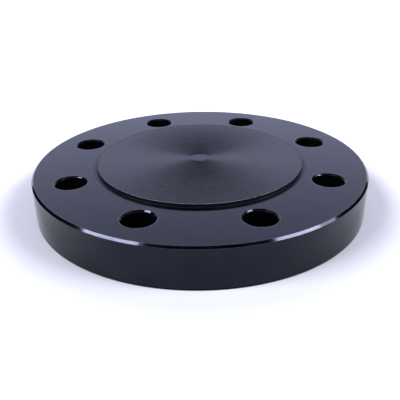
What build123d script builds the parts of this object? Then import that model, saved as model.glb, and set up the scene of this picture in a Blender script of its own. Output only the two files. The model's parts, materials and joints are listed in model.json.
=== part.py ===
from build123d import *
import os

# Raised-face blind flange, forged in one piece and machined all over.
# It closes the end of a 4 inch (DN 100) Class 300 pipe line.
#
# Frame: millimetres, +Z up along the pipe axis, out of the raised face. The origin is
# the middle of the flat back face. The first bolt hole is half a pitch round from +X,
# so the holes straddle both centre lines, as they do on an installed flange.

# Driving dimensions
OUTSIDE_DIAMETER = 254.0
FLANGE_THICKNESS = 30.5  # without the raised face; 30.2 at least, 33.2 at most
RAISED_FACE_DIAMETER = 157.2
RAISED_FACE_HEIGHT = 2.7  # the standard gives 2 as the nominal height
BOLT_CIRCLE_DIAMETER = 200.2
BOLT_HOLE_DIAMETER = 22.2
BOLT_HOLE_COUNT = 8

# Edge treatment
FRONT_RIM_CHAMFER = 1.5
BACK_RIM_CHAMFER = 1.5
HOLE_CHAMFER = 1.0
FACE_EDGE_BREAK = 0.2  # keeps the raised face's edge from cutting hands
FACE_FOOT_RADIUS = 0.4  # left by the nose of the turning tool

# Worked out from the sizes above
OUTSIDE_RADIUS = OUTSIDE_DIAMETER / 2
FACE_RADIUS = RAISED_FACE_DIAMETER / 2
FULL_HEIGHT = FLANGE_THICKNESS + RAISED_FACE_HEIGHT
HOLE_RADIUS = BOLT_HOLE_DIAMETER / 2


def half_section():
    """Half of the turned section, on the XZ plane: x is the radius and y the height."""
    with BuildSketch(Plane.XZ) as section:
        with BuildLine():
            back = Polyline(
                (0, FULL_HEIGHT),
                (0, 0),
                (OUTSIDE_RADIUS - BACK_RIM_CHAMFER, 0),
                (OUTSIDE_RADIUS, BACK_RIM_CHAMFER),
                (OUTSIDE_RADIUS, FLANGE_THICKNESS - FRONT_RIM_CHAMFER),
                (OUTSIDE_RADIUS - FRONT_RIM_CHAMFER, FLANGE_THICKNESS),
                (FACE_RADIUS + FACE_FOOT_RADIUS, FLANGE_THICKNESS),
            )
            foot = RadiusArc(
                back @ 1,
                (FACE_RADIUS, FLANGE_THICKNESS + FACE_FOOT_RADIUS),
                FACE_FOOT_RADIUS,
            )
            Polyline(
                foot @ 1,
                (FACE_RADIUS, FULL_HEIGHT - FACE_EDGE_BREAK),
                (FACE_RADIUS - FACE_EDGE_BREAK, FULL_HEIGHT),
                (0, FULL_HEIGHT),
            )
        make_face()
    return section.sketch


def bolt_hole_cutter():
    """The space that one bolt hole takes, with the countersinks at both of its ends."""
    bore = Cylinder(
        HOLE_RADIUS, FLANGE_THICKNESS, align=(Align.CENTER, Align.CENTER, Align.MIN)
    )
    mouth = Cone(
        HOLE_RADIUS,
        HOLE_RADIUS + HOLE_CHAMFER,
        HOLE_CHAMFER,
        align=(Align.CENTER, Align.CENTER, Align.MIN),
    )
    front_mouth = Pos(0, 0, FLANGE_THICKNESS - HOLE_CHAMFER) * mouth
    back_mouth = Pos(0, 0, HOLE_CHAMFER) * Rot(180, 0, 0) * mouth
    return bore + front_mouth + back_mouth


def blind_flange():
    """The whole forging: the turned disc less its ring of bolt holes."""
    disc = revolve(half_section(), Axis.Z)
    half_pitch = 180 / BOLT_HOLE_COUNT
    holes = PolarLocations(BOLT_CIRCLE_DIAMETER / 2, BOLT_HOLE_COUNT, half_pitch)
    flange = disc - [place * bolt_hole_cutter() for place in holes]
    flange.label = "blind_flange"
    return flange


os.makedirs("parts", exist_ok=True)
export_step(blind_flange(), "parts/blind_flange.step")
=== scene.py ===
import json
from math import cos, hypot, pi, radians, sin, tan

import bmesh
import bpy
from mathutils import Matrix, Vector


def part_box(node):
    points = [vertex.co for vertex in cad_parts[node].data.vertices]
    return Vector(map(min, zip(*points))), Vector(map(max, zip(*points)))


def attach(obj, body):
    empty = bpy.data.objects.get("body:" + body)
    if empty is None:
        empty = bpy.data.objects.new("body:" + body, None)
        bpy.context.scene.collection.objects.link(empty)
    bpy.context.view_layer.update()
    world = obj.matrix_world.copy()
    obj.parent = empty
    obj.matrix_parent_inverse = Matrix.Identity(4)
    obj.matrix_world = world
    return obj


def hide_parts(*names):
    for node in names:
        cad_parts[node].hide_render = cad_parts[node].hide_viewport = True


# A black-painted raised-face blind flange, lying on its back face on a pale studio table.
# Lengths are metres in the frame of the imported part: +Z up, origin mid back face, and the
# camera looks along +Y.

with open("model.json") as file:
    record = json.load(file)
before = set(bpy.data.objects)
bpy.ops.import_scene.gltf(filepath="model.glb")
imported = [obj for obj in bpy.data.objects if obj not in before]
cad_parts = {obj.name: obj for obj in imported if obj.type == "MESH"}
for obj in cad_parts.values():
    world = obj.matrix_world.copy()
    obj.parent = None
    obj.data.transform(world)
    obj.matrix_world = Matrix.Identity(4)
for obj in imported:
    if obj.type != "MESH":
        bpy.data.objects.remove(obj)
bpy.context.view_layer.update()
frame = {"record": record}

# ---------------------------------------------------------------- sizes, from the frame

NODE = "blind_flange"
MOUNTS = {mount["name"]: mount for mount in frame["record"]["mounts"]}
BOLTS = MOUNTS["flange_bolting"]["dims"]

LOW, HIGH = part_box(NODE)
RIM_RADIUS = HIGH.x
FACE_HEIGHT = MOUNTS["sealing_face"]["pos_m"][2]
DECK_HEIGHT = MOUNTS["front_face"]["pos_m"][2]  # the flat ring that the bolt holes open in
HOLE_COUNT = BOLTS["count"]
HOLE_RADIUS = BOLTS["hole_r_mm"] / 1000
HOLE_CIRCLE = BOLTS["pcd_mm"] / 2000

FACE_RADIUS = 0.0786
RIM_CHAMFER = 0.0015
HOLE_CHAMFER = 0.001
FOOT_RADIUS = 0.0004  # hollow left by the turning tool where the raised face meets the deck
PAINT_ROUNDING = 0.00025  # paint softens every edge by about this radius
CLEAR_OF_EDGE = 3 * PAINT_ROUNDING  # where a flat face ends and an edge's bands start

GROOVE_PITCH = 0.00064  # turned finish of the sealing face: 40 grooves to the inch
SLOPE_NEAR_SPOT = 15  # degrees, of the grooves' flanks: they get shallower on the way out
SLOPE_NEAR_EDGE = 7
CREST_DROP = 0.00003  # the grooves' crests lie this far under the plain lands
SPOT_RADIUS = 0.0068  # plain spot that the turning tool leaves in the middle
GROOVE_MARGIN = 0.0006  # plain lands at both ends of the grooves

WEAR_AND_HIGHLIGHT = "wear"  # the mesh keeps, at each vertex, how thin its paint is and how much painted highlight lightens it there, from 0 to 1
# Lighter paint on the grooves' crests and round the spot's edge: wear, and a painted highlight for
# the light lines there.
CREST_WEAR_AND_HIGHLIGHT = 0.08
SPOT_EDGE_WEAR_AND_HIGHLIGHT = 0.2

# ---------------------------------------------------------------- mesh density

ARC_STEPS = 32  # round one bolt hole's sector of the flange
SPOKE_STEPS = 16  # from the deck's inner edge to its outer edge
CORNER_STEPS = 3  # round the arc of one rounded edge
SEGMENTS = ARC_STEPS * HOLE_COUNT
SAME = 1e-6  # lengths this close are the same


# ---------------------------------------------------------------- outlines

def rounded(corners):
    """Turned outline points (radius, height, wear and painted highlight) through (radius, height)
    corners.

    A corner may add its rounding, and how worn its paint is with the painted highlight that goes
    with it, before, on and after its arc.
    """
    outline = []
    for index, (radius, height, *soft) in enumerate(corners):
        if not soft:
            outline.append((radius, height, 0.0))
            continue
        rounding, wear_and_highlight_before, wear, wear_and_highlight_after = soft
        here = Vector((radius, height))
        before = (Vector(corners[index - 1][:2]) - here).normalized()
        after = (Vector(corners[index + 1][:2]) - here).normalized()
        half_angle = before.angle(after) / 2
        centre = here + (before + after).normalized() * (rounding / sin(half_angle))
        start = here + before * (rounding / tan(half_angle)) - centre
        end = here + after * (rounding / tan(half_angle)) - centre
        for step in range(CORNER_STEPS + 1):
            share = step / CORNER_STEPS
            spot = centre + start.slerp(end, share) * rounding
            wear_and_highlight_share = wear + (wear_and_highlight_before - wear) * max(0, 1 - 2 * share)
            wear_and_highlight_share += (wear_and_highlight_after - wear) * max(0, 2 * share - 1)
            outline.append((spot.x, spot.y, wear_and_highlight_share))
    return outline


def sealing_face_outline():
    """Crests and valleys of the turned finish, from the middle spot out to the face's edge."""
    outline = [
        (SPOT_RADIUS - GROOVE_MARGIN, FACE_HEIGHT, 0.0),
        (SPOT_RADIUS, FACE_HEIGHT, SPOT_EDGE_WEAR_AND_HIGHLIGHT),
    ]
    first = SPOT_RADIUS + GROOVE_MARGIN
    last = FACE_RADIUS - GROOVE_MARGIN
    crest_height = FACE_HEIGHT - CREST_DROP
    count = int((last - first) / GROOVE_PITCH)
    for groove in range(count):
        crest = first + groove * GROOVE_PITCH
        slope = SLOPE_NEAR_SPOT + (SLOPE_NEAR_EDGE - SLOPE_NEAR_SPOT) * groove / count
        depth = GROOVE_PITCH / 2 * tan(radians(slope))
        outline.append((crest, crest_height, CREST_WEAR_AND_HIGHLIGHT))
        outline.append((crest + GROOVE_PITCH / 2, crest_height - depth, 0.0))
    outline.append((first + count * GROOVE_PITCH, crest_height, CREST_WEAR_AND_HIGHLIGHT))
    outline.append((last, FACE_HEIGHT, 0.0))
    return outline


DECK_INNER = FACE_RADIUS + 2 * FOOT_RADIUS
DECK_OUTER = RIM_RADIUS - RIM_CHAMFER - CLEAR_OF_EDGE
HOLE_MOUTH = HOLE_RADIUS + HOLE_CHAMFER + CLEAR_OF_EDGE

# The last three numbers of a rounded corner say how worn its paint is before, on and after it; the
# same share lightens the paint there, a painted highlight for the light line along that edge.
FACE_EDGE = rounded([
    (FACE_RADIUS - GROOVE_MARGIN / 2, FACE_HEIGHT),
    (FACE_RADIUS, FACE_HEIGHT, PAINT_ROUNDING, 1, 1.3, 0),
    (FACE_RADIUS, DECK_HEIGHT, FOOT_RADIUS, 0, 0, 0),
    (DECK_INNER, DECK_HEIGHT),
])
RIM = rounded([
    (DECK_OUTER, DECK_HEIGHT),
    (RIM_RADIUS - RIM_CHAMFER, DECK_HEIGHT, PAINT_ROUNDING, 0.3, 0.3, 0),
    (RIM_RADIUS, DECK_HEIGHT - RIM_CHAMFER, PAINT_ROUNDING, 0, 0.5, 0),
    (RIM_RADIUS, RIM_CHAMFER, PAINT_ROUNDING, 0, 0.5, 0),
    (RIM_RADIUS - RIM_CHAMFER, 0, PAINT_ROUNDING, 0, 0.5, 0.3),
    (DECK_OUTER, 0),
])
HOLE = rounded([
    (HOLE_MOUTH, DECK_HEIGHT),
    (HOLE_RADIUS + HOLE_CHAMFER, DECK_HEIGHT, PAINT_ROUNDING, 0.45, 0.45, 0),
    (HOLE_RADIUS, DECK_HEIGHT - HOLE_CHAMFER, PAINT_ROUNDING, 0, 0.3, 0),
    (HOLE_RADIUS, HOLE_CHAMFER, PAINT_ROUNDING, 0, 0.3, 0),
    (HOLE_RADIUS + HOLE_CHAMFER, 0, PAINT_ROUNDING, 0, 0.45, 0.45),
    (HOLE_MOUTH, 0),
])


# ---------------------------------------------------------------- the flange's mesh

def vertex(bm, x, y, z, wear=0.0):
    """One vertex, which keeps how worn its paint is and how much painted highlight it gets."""
    vert = bm.verts.new((x, y, z))
    vert[bm.verts.layers.float[WEAR_AND_HIGHLIGHT]] = wear
    return vert


def ring(bm, radius, height, wear=0.0):
    """One ring of vertices round the flange's axis."""
    turns = [2 * pi * step / SEGMENTS for step in range(SEGMENTS)]
    return [vertex(bm, radius * cos(turn), radius * sin(turn), height, wear) for turn in turns]


def join_rings(bm, first, second, slot=0):
    """A band of quads between two closed rings of the same count."""
    for step in range(len(first)):
        after = (step + 1) % len(first)
        face = bm.faces.new((first[step], first[after], second[after], second[step]))
        face.material_index = slot


def turned_band(bm, outline, start=None, slot=0):
    """Bands along a turned outline. start is a ring that is there already, before them."""
    rings = ([start] if start else []) + [ring(bm, *point) for point in outline]
    for first, second in zip(rings, rings[1:]):
        join_rings(bm, first, second, slot)
    return rings


def spokes(bm, height):
    """Vertices along each line between two sectors, from the deck's inner to its outer edge."""
    lines = []
    for sector in range(HOLE_COUNT):
        turn = 2 * pi * sector / HOLE_COUNT
        radii = [
            DECK_INNER + (DECK_OUTER - DECK_INNER) * step / SPOKE_STEPS
            for step in range(1, SPOKE_STEPS)
        ]
        lines.append([vertex(bm, r * cos(turn), r * sin(turn), height) for r in radii])
    return lines


def sector_outline(sector, inner, outer, lines):
    """The closed loop of vertices round one bolt hole's sector of a flat face."""
    first = sector * ARC_STEPS
    steps = [step % SEGMENTS for step in range(first, first + ARC_STEPS + 1)]
    near_line = lines[sector]
    far_line = lines[(sector + 1) % HOLE_COUNT]
    return (
        [inner[step] for step in steps] + far_line
        + [outer[step] for step in reversed(steps)] + near_line[::-1]
    )


def bolt_hole(bm, sector, front_loop, back_loop):
    """The wall of one bolt hole, and the flat faces between its mouths and the two loops."""
    turn = 2 * pi * (sector + 0.5) / HOLE_COUNT
    centre = Vector((HOLE_CIRCLE * cos(turn), HOLE_CIRCLE * sin(turn)))
    ways = [(vert.co.xy - centre).normalized() for vert in front_loop]
    last = front_loop
    for radius, height, wear in HOLE:
        places = [centre + way * radius for way in ways]
        wall = [vertex(bm, place.x, place.y, height, wear) for place in places]
        join_rings(bm, last, wall)
        last = wall
    join_rings(bm, last, back_loop)


def sharpen_crests(bm):
    """Keeps the crests between two grooves crisp, so that light breaks on each of them."""
    for edge in bm.edges:
        radii = [hypot(*vert.co.xy) for vert in edge.verts]
        on_crests = all(abs(vert.co.z - FACE_HEIGHT + CREST_DROP) < SAME for vert in edge.verts)
        if on_crests and abs(radii[0] - radii[1]) < SAME:
            edge.smooth = False


def flange_mesh():
    """The closed skin of the whole forging."""
    bm = bmesh.new()
    bm.verts.layers.float.new(WEAR_AND_HIGHLIGHT)
    face_rings = turned_band(bm, sealing_face_outline(), slot=1)
    bm.faces.new(face_rings[0])
    edge_rings = turned_band(bm, FACE_EDGE, start=face_rings[-1])
    rim_rings = turned_band(bm, RIM)
    back_inner = ring(bm, DECK_INNER, 0)
    front_lines, back_lines = spokes(bm, DECK_HEIGHT), spokes(bm, 0)
    for sector in range(HOLE_COUNT):
        front = sector_outline(sector, edge_rings[-1], rim_rings[0], front_lines)
        back = sector_outline(sector, back_inner, rim_rings[-1], back_lines)
        bolt_hole(bm, sector, front, back)
    bm.faces.new(back_inner)
    bmesh.ops.recalc_face_normals(bm, faces=bm.faces)
    for face in bm.faces:
        face.smooth = True
    sharpen_crests(bm)
    mesh = bpy.data.meshes.new("flange_forging")
    bm.to_mesh(mesh)
    bm.free()
    return mesh


# ---------------------------------------------------------------- materials

def new_material(name):
    """An empty Principled material: its node tree, the shader and its output."""
    material = bpy.data.materials.new(name)
    material.use_nodes = True
    return material, material.node_tree, material.node_tree.nodes["Principled BSDF"]


def noise(tree, scale, detail=2.0):
    """Noise in the flange's own coordinates, with scale in patches per metre."""
    place = tree.nodes.new("ShaderNodeTexCoord")
    texture = tree.nodes.new("ShaderNodeTexNoise")
    texture.inputs["Scale"].default_value = scale
    texture.inputs["Detail"].default_value = detail
    tree.links.new(place.outputs["Object"], texture.inputs["Vector"])
    return texture.outputs["Fac"]


def ramp(tree, source, low, high, to_low, to_high):
    """The source's stretch from low to high, spread over to_low to to_high."""
    node = tree.nodes.new("ShaderNodeMapRange")
    for name, value in zip(("From Min", "From Max", "To Min", "To Max"),
                           (low, high, to_low, to_high)):
        node.inputs[name].default_value = value
    tree.links.new(source, node.inputs["Value"])
    return node.outputs["Result"]


def mix(tree, share, first, second, kind="RGBA"):
    """A blend by share of two colours or two numbers, each either a value or a socket."""
    node = tree.nodes.new("ShaderNodeMix")
    node.data_type = kind
    sockets = [socket for socket in node.inputs if socket.enabled]
    for socket, value in zip(sockets[1:], (first, second)):
        if isinstance(value, bpy.types.NodeSocket):
            tree.links.new(value, socket)
        else:
            socket.default_value = (*value, 1) if kind == "RGBA" else value
    tree.links.new(share, sockets[0])
    return next(socket for socket in node.outputs if socket.enabled)


# Scales are in patches per metre, roughness as the shader counts it and depths in metres.
PAINT_IOR = 1.33
SPRAYED_TINT = (0.74, 0.79, 1.15)
TURNED_TINT = (0.75, 0.76, 1.0)
CLEAN_PAINT = (0.0004, 0.0005, 0.0008)
DUSTY_PAINT = (0.0036, 0.0038, 0.0045)
DUST_SCALE = 70
DUST_SPAN = (0.35, 0.7)  # values of the noise that give from none to all of it
# The worn colour is far lighter than the paint: on the edges it is wear and a painted highlight
# together.
WORN_AND_HIGHLIGHT_COLOUR = (0.17, 0.17, 0.18)
WORN_ROUGHNESS = 0.45
WEAR_AND_HIGHLIGHT_SCALE = 240
WEAR_AND_HIGHLIGHT_SPAN = (0.35, 0.6)
LEAST_WEAR_AND_HIGHLIGHT = 0.35  # share of an edge's wear and painted highlight that is left in its best kept stretches
PAINT_ROUGHNESS = (0.08, 0.14)
GLOSS_SCALE = 180
GLOSS_SPAN = (0.3, 0.7)
FOOT_ROUGHNESS = 0.5  # the tool leaves the deck rougher at the foot of the raised face
FOOT_REACH = 0.005
TURNED_ROUGHNESS_NEAR_SPOT = 0.35
TURNED_ROUGHNESS_NEAR_EDGE = 0.2
TURNED_ANISOTROPY = 0.95
ACROSS_THE_GROOVES = 0.25  # turns from along them, the way that the light spreads
PEEL_SCALE = 600
SPRAYED_WAVINESS = 0.000006
TURNED_WAVINESS = 0.000018
RING_UNEVENNESS = 0.04  # in their roughness
RING_WIDTH = 0.0015  # of the uneven rings that the tool leaves among the grooves
RING_SPAN = (0.3, 0.7)


def distance_from_axis(tree):
    """How far a point is from the flange's axis, in metres."""
    place = tree.nodes.new("ShaderNodeTexCoord")
    flat = tree.nodes.new("ShaderNodeVectorMath")
    flat.operation = "MULTIPLY"
    flat.inputs[1].default_value = (1, 1, 0)
    length = tree.nodes.new("ShaderNodeVectorMath")
    length.operation = "LENGTH"
    tree.links.new(place.outputs["Object"], flat.inputs[0])
    tree.links.new(flat.outputs[0], length.inputs[0])
    return length.outputs["Value"]


def rings(tree, radius):
    """Noise that changes only from ring to ring."""
    texture = tree.nodes.new("ShaderNodeTexNoise")
    texture.noise_dimensions = "1D"
    texture.inputs["Scale"].default_value = 1 / RING_WIDTH
    texture.inputs["Detail"].default_value = 3.0
    tree.links.new(radius, texture.inputs["W"])
    return texture.outputs["Fac"]


def combine(tree, operation, first, second):
    """Two numbers put together by a math operation."""
    node = tree.nodes.new("ShaderNodeMath")
    node.operation = operation
    tree.links.new(first, node.inputs[0])
    tree.links.new(second, node.inputs[1])
    return node.outputs["Value"]


def orange_peel(tree, shader, depth):
    """The faint waviness of sprayed paint, depth metres deep."""
    bump = tree.nodes.new("ShaderNodeBump")
    bump.inputs["Strength"].default_value = 1.0
    bump.inputs["Distance"].default_value = depth
    tree.links.new(noise(tree, PEEL_SCALE, detail=1), bump.inputs["Height"])
    tree.links.new(bump.outputs["Normal"], shader.inputs["Normal"])


def wear(tree):
    """How worn the paint is, with its painted highlight: what the mesh says, broken up into short
    stretches.
    """
    told = tree.nodes.new("ShaderNodeAttribute")
    told.attribute_name = WEAR_AND_HIGHLIGHT
    stretches = ramp(tree, noise(tree, WEAR_AND_HIGHLIGHT_SCALE, detail=3), *WEAR_AND_HIGHLIGHT_SPAN, LEAST_WEAR_AND_HIGHLIGHT, 1)
    return combine(tree, "MULTIPLY", told.outputs["Fac"], stretches)


def paint(name, finish, tint, waviness):
    """Glossy black paint, worn and lighter on its edges as a painted highlight, with a trace of
    dust and a faint orange peel.

    finish makes the unworn paint's roughness from the node tree. waviness is how deep the
    orange peel is.
    """
    material, tree, shader = new_material(name)
    shader.inputs["IOR"].default_value = PAINT_IOR
    shader.inputs["Specular Tint"].default_value = (*tint, 1)
    wear_and_highlight_share = wear(tree)
    dust = ramp(tree, noise(tree, DUST_SCALE, detail=5), *DUST_SPAN, 0, 1)
    # Painted highlight: the lighter worn colour along the edges draws the light lines there, with
    # the wear's roughness.
    colour = mix(tree, wear_and_highlight_share, mix(tree, dust, CLEAN_PAINT, DUSTY_PAINT), WORN_AND_HIGHLIGHT_COLOUR)
    roughness = mix(tree, wear_and_highlight_share, finish(tree), WORN_ROUGHNESS, "FLOAT")
    tree.links.new(colour, shader.inputs["Base Color"])
    tree.links.new(roughness, shader.inputs["Roughness"])
    orange_peel(tree, shader, waviness)
    return material, tree, shader


def sprayed_finish(tree):
    """Roughness of the paint on the smooth faces, greater at the foot of the raised face."""
    gloss = ramp(tree, noise(tree, GLOSS_SCALE), *GLOSS_SPAN, *PAINT_ROUGHNESS)
    radius = distance_from_axis(tree)
    outside = ramp(tree, radius, FACE_RADIUS, FACE_RADIUS + FOOT_REACH, 1, 0)
    off_the_spot = ramp(tree, radius, SPOT_RADIUS, 2 * SPOT_RADIUS, 0, 1)
    at_foot = combine(tree, "MINIMUM", outside, off_the_spot)
    return mix(tree, at_foot, gloss, FOOT_ROUGHNESS, "FLOAT")


def turned_finish(tree):
    """Roughness of the paint on the grooves, uneven from ring to ring."""
    radius = distance_from_axis(tree)
    spread = ramp(tree, radius, SPOT_RADIUS, FACE_RADIUS,
                  TURNED_ROUGHNESS_NEAR_SPOT, TURNED_ROUGHNESS_NEAR_EDGE)
    uneven = ramp(tree, rings(tree, radius), *RING_SPAN, -RING_UNEVENNESS, RING_UNEVENNESS)
    return combine(tree, "ADD", spread, uneven)


def turned_paint():
    """The paint over the turned finish of the sealing face, which spreads light across it."""
    material, tree, shader = paint(
        "turned_paint", turned_finish, TURNED_TINT, TURNED_WAVINESS)
    shader.inputs["Anisotropic"].default_value = TURNED_ANISOTROPY
    shader.inputs["Anisotropic Rotation"].default_value = ACROSS_THE_GROOVES
    tangent = tree.nodes.new("ShaderNodeTangent")
    tangent.direction_type = "RADIAL"
    tangent.axis = "Z"
    tree.links.new(tangent.outputs["Tangent"], shader.inputs["Tangent"])
    return material


# ---------------------------------------------------------------- the piece

def flange():
    """The whole forging, in its two finishes."""
    piece = bpy.data.objects.new("flange_forging", flange_mesh())
    bpy.context.collection.objects.link(piece)
    sprayed = paint("black_paint", sprayed_finish, SPRAYED_TINT, SPRAYED_WAVINESS)[0]
    piece.data.materials.append(sprayed)
    piece.data.materials.append(turned_paint())
    shading = piece.modifiers.new("even_shading", "WEIGHTED_NORMAL")
    shading.keep_sharp = True
    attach(piece, "root")
    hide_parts(NODE)


# ---------------------------------------------------------------- studio

FLOOR_SIZE = 60.0
FLOOR_GAP = 0.00003
FLOOR_ROUGHNESS = 0.9
FLOOR_COLOUR = (0.82, 0.83, 0.87)
PAINTED_CONTACT_SHADOW = 0.04  # painted shadow: how pale the table is under the flange, which hides that part from the camera; the bottom chamfer reflects this dark ring as shade
# The table glows too. Each glow starts at one radius and is full at the next, where its level
# has gone from the first to the second. The two add up.
NEAR_GLOW = (0.142, 0.2, 0, 0.4)
FAR_GLOW = (0.6, 2.0, 0, 0.7)

COOL = (1.0, 1.06, 1.5)
SCREEN_DISTANCE = 1.6
SCREEN_STEP = 4  # degrees
SCREENS = {  # each through its (azimuth, low, high, level) edges: degrees, then brightness
    "backdrop": [(-70, 25, 42, 0.45), (-38, 7, 40, 0.7), (-31, 0, 37, 1.0),
                 (31, 0, 37, 1.0), (38, 7, 40, 0.7), (70, 25, 42, 0.45)],
    "front_screen": [(108, 0, 28, 0.4), (140, 0, 38, 0.7), (220, 0, 38, 0.7), (252, 0, 28, 0.4)],
    "right_low_screen": [(64, 0, 5, 0.6), (76, 0, 11, 0.6), (108, 0, 11, 0.6)],
    "left_low_screen": [(-108, 0, 11, 0.6), (-76, 0, 11, 0.6), (-64, 0, 5, 0.6)],
}
LEVEL = "level"  # the screens' meshes keep how bright they are at each vertex
CEILING_HEIGHT = 2.5
CEILING_RADIUS = 1.0
CEILING_STEP = 15  # degrees
CEILING_LEVEL = 0.6

LAMP_RADIANCE = 34.0
LAMP_DISTANCE = 3.0
LAMP_WIDTH = 7  # degrees
LAMP_COLOUR = (1.0, 1.0, 1.04)


def direction(azimuth, elevation):
    """The way to a point that the flange sees there, in degrees. azimuth is clockwise from +Y."""
    turn, lift = radians(azimuth), radians(elevation)
    return Vector((cos(lift) * sin(turn), cos(lift) * cos(turn), sin(lift)))


def stage_piece(name, vertices, faces, material):
    """A piece of the studio, of one material."""
    mesh = bpy.data.meshes.new(name)
    mesh.from_pydata(vertices, [], faces)
    mesh.materials.append(material)
    piece = bpy.data.objects.new(name, mesh)
    bpy.context.collection.objects.link(piece)
    return piece


def floor():
    """The table, just under the flange so that the two don't share a plane."""
    half = FLOOR_SIZE / 2
    level = LOW.z - FLOOR_GAP
    material, tree, shader = new_material("studio_table")
    shader.inputs["Roughness"].default_value = FLOOR_ROUGHNESS
    shader.inputs["Specular IOR Level"].default_value = 0.0
    shader.inputs["Emission Color"].default_value = (1, 1, 1, 1)
    radius = distance_from_axis(tree)
    # Painted shadow: the table turns dark under the flange's edge, for the shade that the bottom
    # chamfer reflects.
    outside = ramp(tree, radius, RIM_RADIUS - RIM_CHAMFER / 2, RIM_RADIUS, 0, 1)
    colour = mix(tree, outside, (PAINTED_CONTACT_SHADOW,) * 3, FLOOR_COLOUR)
    tree.links.new(colour, shader.inputs["Base Color"])
    near, far = ramp(tree, radius, *NEAR_GLOW), ramp(tree, radius, *FAR_GLOW)
    tree.links.new(combine(tree, "ADD", near, far), shader.inputs["Emission Strength"])
    corners = [(-1, -1), (1, -1), (1, 1), (-1, 1)]
    vertices = [(x * half, y * half, level) for x, y in corners]
    stage_piece("floor", vertices, [(0, 1, 2, 3)], material)


def glowing_cloth():
    """What the screens are made of: as bright as their vertices say."""
    material = bpy.data.materials.new("glowing_cloth")
    material.use_nodes = True
    tree = material.node_tree
    tree.nodes.clear()
    told = tree.nodes.new("ShaderNodeAttribute")
    told.attribute_name = LEVEL
    glow = tree.nodes.new("ShaderNodeEmission")
    glow.inputs["Color"].default_value = (*COOL, 1)
    tree.links.new(told.outputs["Fac"], glow.inputs["Strength"])
    out = tree.nodes.new("ShaderNodeOutputMaterial")
    tree.links.new(glow.outputs[0], out.inputs[0])
    return material


def light_up(piece, levels):
    """Says how bright a screen is at each vertex, and keeps its edges out of the picture."""
    told = piece.data.attributes.new(LEVEL, "FLOAT", "POINT")
    told.data.foreach_set("value", levels)
    piece.visible_camera = False


def screen(name, edges, material):
    """A curved screen that stands round the flange and runs evenly from edge to edge."""
    stations = []
    for first, second in zip(edges, edges[1:]):
        steps = max(1, round((second[0] - first[0]) / SCREEN_STEP))
        for step in range(steps):
            pairs = zip(first, second)
            stations.append([start + (end - start) * step / steps for start, end in pairs])
    stations.append(edges[-1])
    vertices, levels = [], []
    for azimuth, low, high, level in stations:
        foot = direction(azimuth, 0) * SCREEN_DISTANCE
        for elevation in (low, high):
            height = SCREEN_DISTANCE * tan(radians(elevation))
            vertices.append(foot + Vector((0, 0, height)))
            levels.append(level)
    faces = [(i, i + 2, i + 3, i + 1) for i in range(0, len(vertices) - 2, 2)]
    light_up(stage_piece(name, vertices, faces, material), levels)


def ceiling(material):
    """A dim round screen overhead, for views from above."""
    vertices = [direction(azimuth, 0) * CEILING_RADIUS + Vector((0, 0, CEILING_HEIGHT))
                for azimuth in range(0, 360, CEILING_STEP)]
    piece = stage_piece("ceiling", vertices, [range(len(vertices))], material)
    light_up(piece, [CEILING_LEVEL] * len(vertices))


def softbox(name, start, end, radiance):
    """A strip lamp that spans two (azimuth, elevation) directions, as the flange sees it."""
    ends = direction(*start), direction(*end)
    away = (ends[0] + ends[1]).normalized()
    along = (ends[1] - ends[0]).normalized()
    side = away.cross(along)
    light = bpy.data.lights.new(name, "AREA")
    light.shape = "RECTANGLE"
    light.size = 2 * LAMP_DISTANCE * tan(ends[0].angle(ends[1]) / 2)
    light.size_y = 2 * LAMP_DISTANCE * tan(radians(LAMP_WIDTH / 2))
    light.energy = radiance * pi * light.size * light.size_y
    light.color = LAMP_COLOUR
    lamp = bpy.data.objects.new(name, light)
    bpy.context.collection.objects.link(lamp)
    lamp.matrix_world = Matrix((along, side, away)).transposed().to_4x4()
    lamp.location = away * LAMP_DISTANCE


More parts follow.
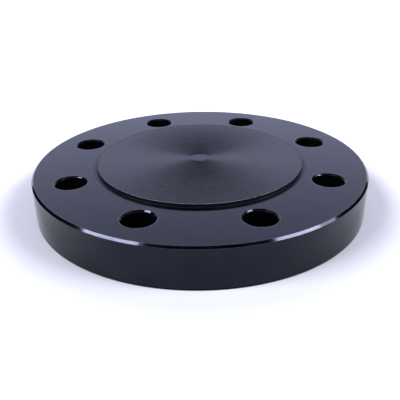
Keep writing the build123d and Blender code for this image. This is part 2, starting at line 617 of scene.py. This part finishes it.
def white_surroundings():
    """White past the table's edge, seen by the camera alone: screens and lamps do the lighting."""
    world = bpy.data.worlds.new("studio")
    bpy.context.scene.world = world
    world.use_nodes = True
    background = world.node_tree.nodes["Background"]
    background.inputs["Color"].default_value = (1, 1, 1, 1)
    background.inputs["Strength"].default_value = 1.0
    world.cycles_visibility.diffuse = False
    world.cycles_visibility.glossy = False


# ---------------------------------------------------------------- camera

FOCAL_LENGTH = 47.718  # millimetres, as is the sensor's width
SENSOR_WIDTH = 36.0
CAMERA_DISTANCE = 0.42167
CAMERA_AIM_DEPTH = 0.0155  # the point it circles is this far under the deck
CAMERA_ELEVATION = 24.707  # degrees, as are the next ones
CAMERA_PAN = 0.025
CAMERA_TILT = -2.293
CAMERA_ROLL = 0.806
CAMERA_TURN = 0.473  # round the flange, so that the bolt holes sit as they do


def camera():
    """Circles a point under the deck at a distance and elevation, then turns a little."""
    data = bpy.data.cameras.new("camera")
    data.lens, data.sensor_width = FOCAL_LENGTH, SENSOR_WIDTH
    data.clip_start, data.clip_end = 0.01, 100
    eye = bpy.data.objects.new("camera", data)
    bpy.context.collection.objects.link(eye)
    elevation = radians(CAMERA_ELEVATION)
    place = Vector((0, -cos(elevation), sin(elevation))) * CAMERA_DISTANCE
    place.z += DECK_HEIGHT - CAMERA_AIM_DEPTH
    forward = Vector((0, cos(elevation), -sin(elevation)))
    right = Vector((1, 0, 0))
    up = right.cross(forward)
    for angle, axis in ((CAMERA_PAN, up), (CAMERA_TILT, right)):
        turn = Matrix.Rotation(radians(angle), 3, axis)
        forward, right, up = turn @ forward, turn @ right, turn @ up
    roll = Matrix.Rotation(radians(CAMERA_ROLL), 3, forward)
    right, up = roll @ right, roll @ up
    pose = Matrix((right, up, -forward)).transposed().to_4x4()
    pose.translation = place
    eye.matrix_world = Matrix.Rotation(radians(CAMERA_TURN), 4, "Z") @ pose
    bpy.context.scene.camera = eye


flange()
floor()
cloth = glowing_cloth()
for name, edges in SCREENS.items():
    screen(name, edges, cloth)
ceiling(cloth)
softbox("softbox_right", (92, 35), (121, 48), LAMP_RADIANCE)
softbox("softbox_right_end", (82, 28), (92, 35), LAMP_RADIANCE / 3)
softbox("softbox_left", (-94, 36), (-131, 51), LAMP_RADIANCE)
white_surroundings()
camera()
bpy.context.scene.view_settings.view_transform = "Standard"
